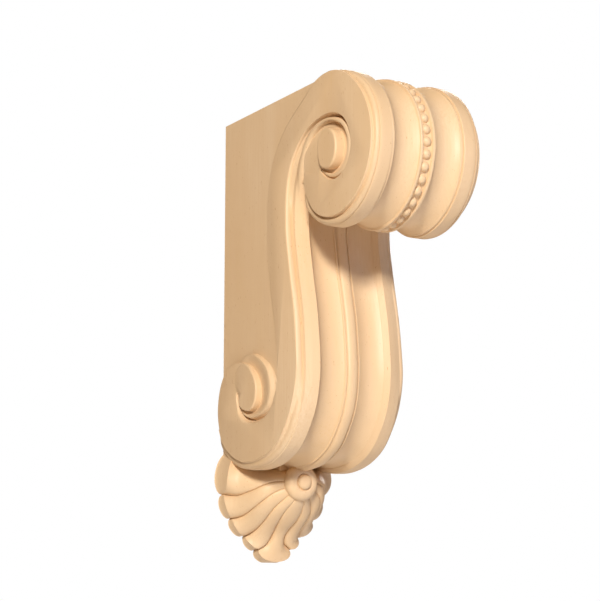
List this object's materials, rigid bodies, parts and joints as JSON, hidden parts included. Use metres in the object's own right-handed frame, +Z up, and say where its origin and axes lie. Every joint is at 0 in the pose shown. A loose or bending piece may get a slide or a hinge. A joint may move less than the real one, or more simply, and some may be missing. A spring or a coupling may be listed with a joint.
{
  "type": "corbel",
  "caption": "Carved wooden scroll corbel that stands on a wall under a shelf or mantel: moulded S scroll with side volutes, pearls round its roll and a shell at its foot.",
  "frame": {"origin": "on the flat back face that meets the wall, at mid width and half of the height", "axes": "+Z up, +X across the width to the right of someone who faces the wall, +Y into the wall, so the roll reaches out towards -Y"},
  "size_m": [0.0888, 0.1905, 0.3048],
  "materials": {
    "hardwood": "satin, unfinished pale hardwood"
  },
  "bodies": {
    "root": {"corbel": "hardwood"}
  },
  "joints": []
}
